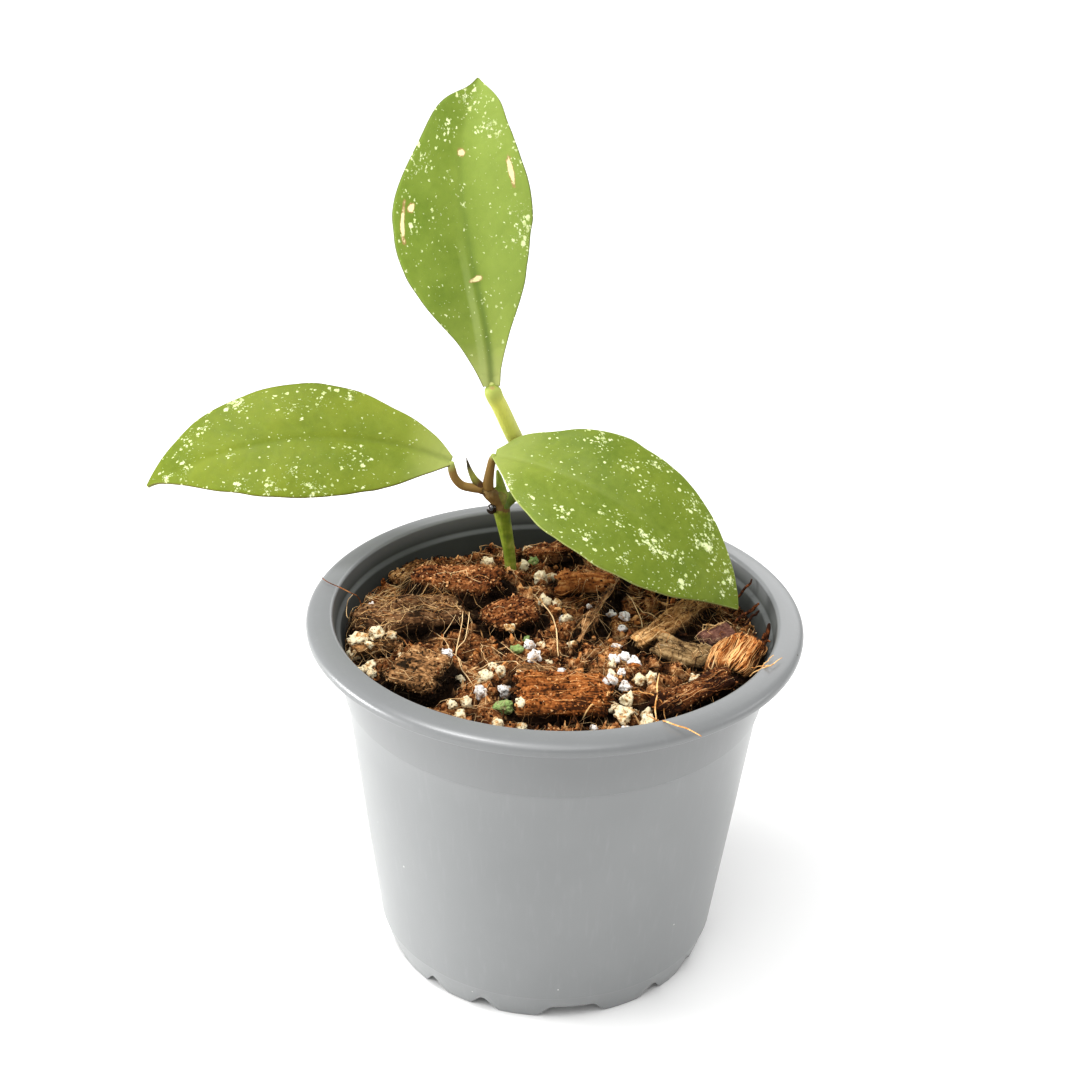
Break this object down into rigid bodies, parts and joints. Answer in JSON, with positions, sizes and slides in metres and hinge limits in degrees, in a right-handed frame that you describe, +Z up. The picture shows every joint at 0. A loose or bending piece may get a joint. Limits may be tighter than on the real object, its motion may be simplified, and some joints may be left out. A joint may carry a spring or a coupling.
{
  "type": "potted hoya plant",
  "caption": "Young potted hoya: a rooted climbing cutting with broad flecked waxy leaves on a short forked stem, standing in coarse husk mix in a round grey nursery pot.",
  "frame": {"origin": "on the pot's axis, at the surface that the pot stands on", "axes": "+Z up; -Y is the front, from which all the leaves show their upper faces, and +X is to the right of it"},
  "size_m": [0.1411, 0.105, 0.1804],
  "materials": {
    "pot_plastic": "satin grey injection-moulded polypropylene",
    "potting_mix": "rough crumbs of coir and bark",
    "coconut_husk": "matt fibrous husk",
    "bark": "matt weathered bark",
    "perlite": "matt white expanded grain",
    "pumice": "matt cream porous grain",
    "algae_pumice": "matt porous grain greened by algae",
    "stem_skin": "smooth green shoot with brown older bark",
    "leaf_skin": "waxy green with silver and cream flecks"
  },
  "bodies": {
    "root": {"pot": "pot_plastic", "potting_mix": "potting_mix", "stem": "stem_skin", "leaf_left": "leaf_skin", "leaf_right": "leaf_skin", "leaf_top": "leaf_skin", "husk_back": "coconut_husk", "husk_block": "coconut_husk", "husk_chip": "coconut_husk", "husk_fan": "coconut_husk", "husk_front": "coconut_husk", "husk_log": "coconut_husk", "husk_mound": "coconut_husk", "husk_rear": "coconut_husk", "husk_shade": "coconut_husk", "husk_side": "coconut_husk", "husk_strip": "coconut_husk", "bark_chip": "bark", "bark_flake": "bark", "bark_stick": "bark", "pumice_01": "pumice", "pumice_02": "pumice", "perlite_03": "perlite", "pumice_04": "pumice", "perlite_05": "perlite", "pumice_06": "algae_pumice", "perlite_07": "perlite", "pumice_08": "pumice", "perlite_09": "perlite", "perlite_10": "perlite", "pumice_11": "algae_pumice", "pumice_12": "pumice", "pumice_13": "pumice", "pumice_14": "algae_pumice", "pumice_15": "pumice", "pumice_16": "pumice", "pumice_17": "pumice", "perlite_18": "perlite", "perlite_19": "perlite", "perlite_20": "perlite", "pumice_21": "pumice", "pumice_22": "pumice", "pumice_23": "pumice", "pumice_24": "pumice"}
  },
  "joints": []
}
